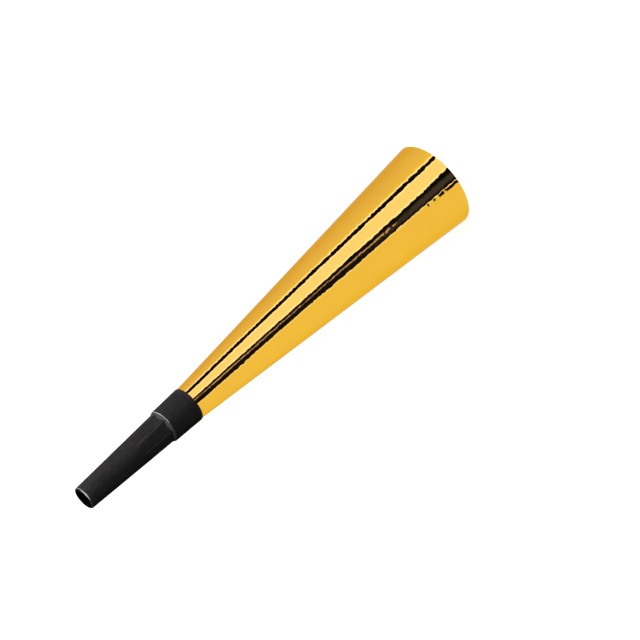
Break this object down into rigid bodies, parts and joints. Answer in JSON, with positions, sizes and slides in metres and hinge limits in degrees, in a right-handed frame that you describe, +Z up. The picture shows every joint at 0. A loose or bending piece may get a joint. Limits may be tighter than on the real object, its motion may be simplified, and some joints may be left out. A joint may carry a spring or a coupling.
{
  "type": "party horn",
  "caption": "Straight party horn: a rolled foil-board cone pushed into a moulded mouthpiece with a beating reed inside.",
  "frame": {"origin": "centre of the bell's rim, on the surface that the horn stands on", "axes": "+Z up the horn's axis from the bell to the mouth, -Y the side that the reed's tongue faces"},
  "size_m": [0.0442, 0.0442, 0.2286],
  "materials": {
    "gold_foil_board": "mirror gold foil outside, plain white board inside",
    "black_plastic": "satin black, lightly textured",
    "reed_plastic": "natural ivory",
    "ring_plastic": "natural ivory",
    "reed_film": "milky film"
  },
  "bodies": {
    "horn": {"cone": "gold_foil_board", "mouthpiece": "black_plastic", "reed_body": "reed_plastic", "reed_ring": "ring_plastic"},
    "reed": {"reed_tongue": "reed_film"}
  },
  "joints": [
    {"name": "reed_flex", "type": "hinge", "parent": "horn", "child": "reed", "pos_m": [0, -0.0013, 0.1863], "axis": [1, 0, 0], "range_deg": [-2.9, 1], "stiffness_Nm_per_rad": 0.0015}
  ]
}
